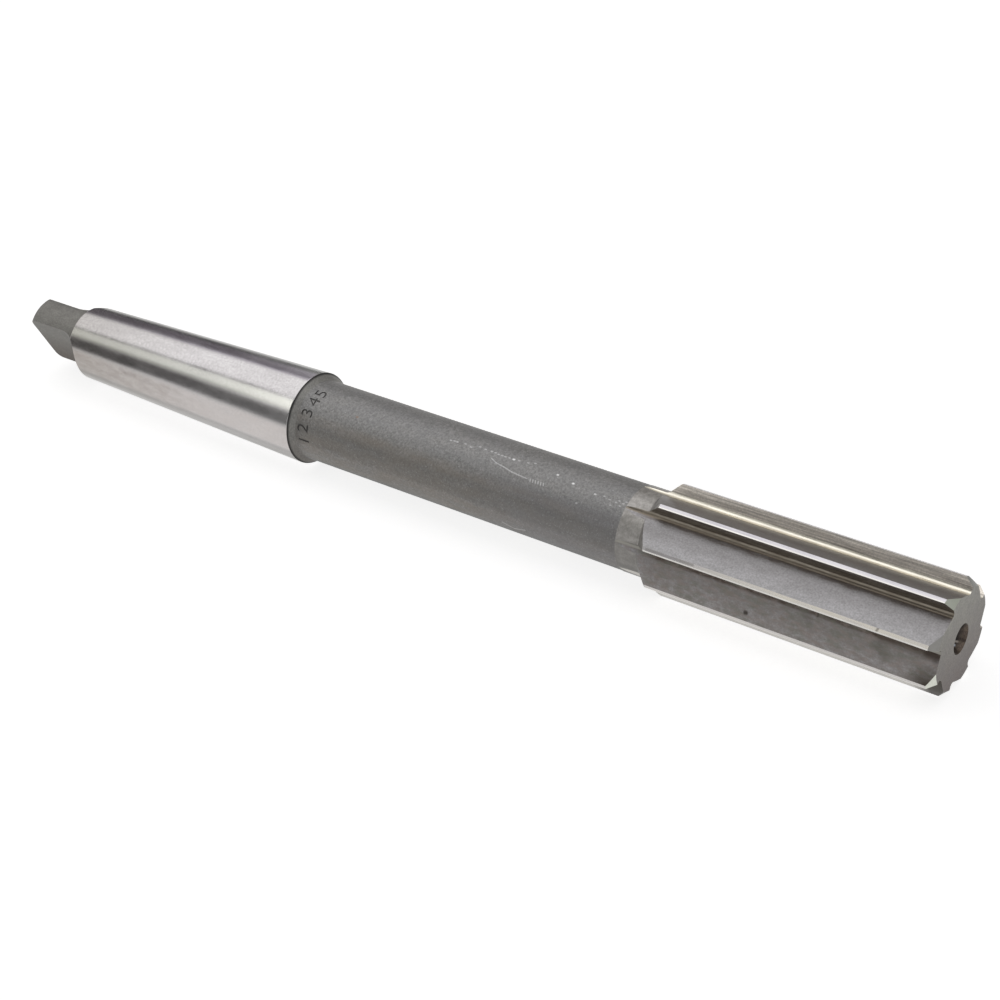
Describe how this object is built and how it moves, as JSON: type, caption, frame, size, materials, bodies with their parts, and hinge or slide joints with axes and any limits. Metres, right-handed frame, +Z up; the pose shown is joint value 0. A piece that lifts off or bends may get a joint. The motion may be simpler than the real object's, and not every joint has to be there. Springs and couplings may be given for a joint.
{
  "type": "machine reamer",
  "caption": "Straight-fluted machine reamer with a taper shank and tang, a plain neck and a ground cutting end with a bevel lead.",
  "frame": {"origin": "on the surface that the reamer lies on, under the middle of its length, at the centre of its footprint", "axes": "+X along the tool's axis, from the tang towards the cutting end; +Z up from the surface that it lies on; +Y to the left when looking along +X"},
  "size_m": [0.277, 0.0252, 0.0253],
  "materials": {
    "tool_steel": "dark matt blasted steel on the neck and tang, bright ground steel on the taper, the tooth lands and the lead, satin grey steel in the flutes"
  },
  "bodies": {
    "root": {"reamer": "tool_steel"}
  },
  "joints": []
}
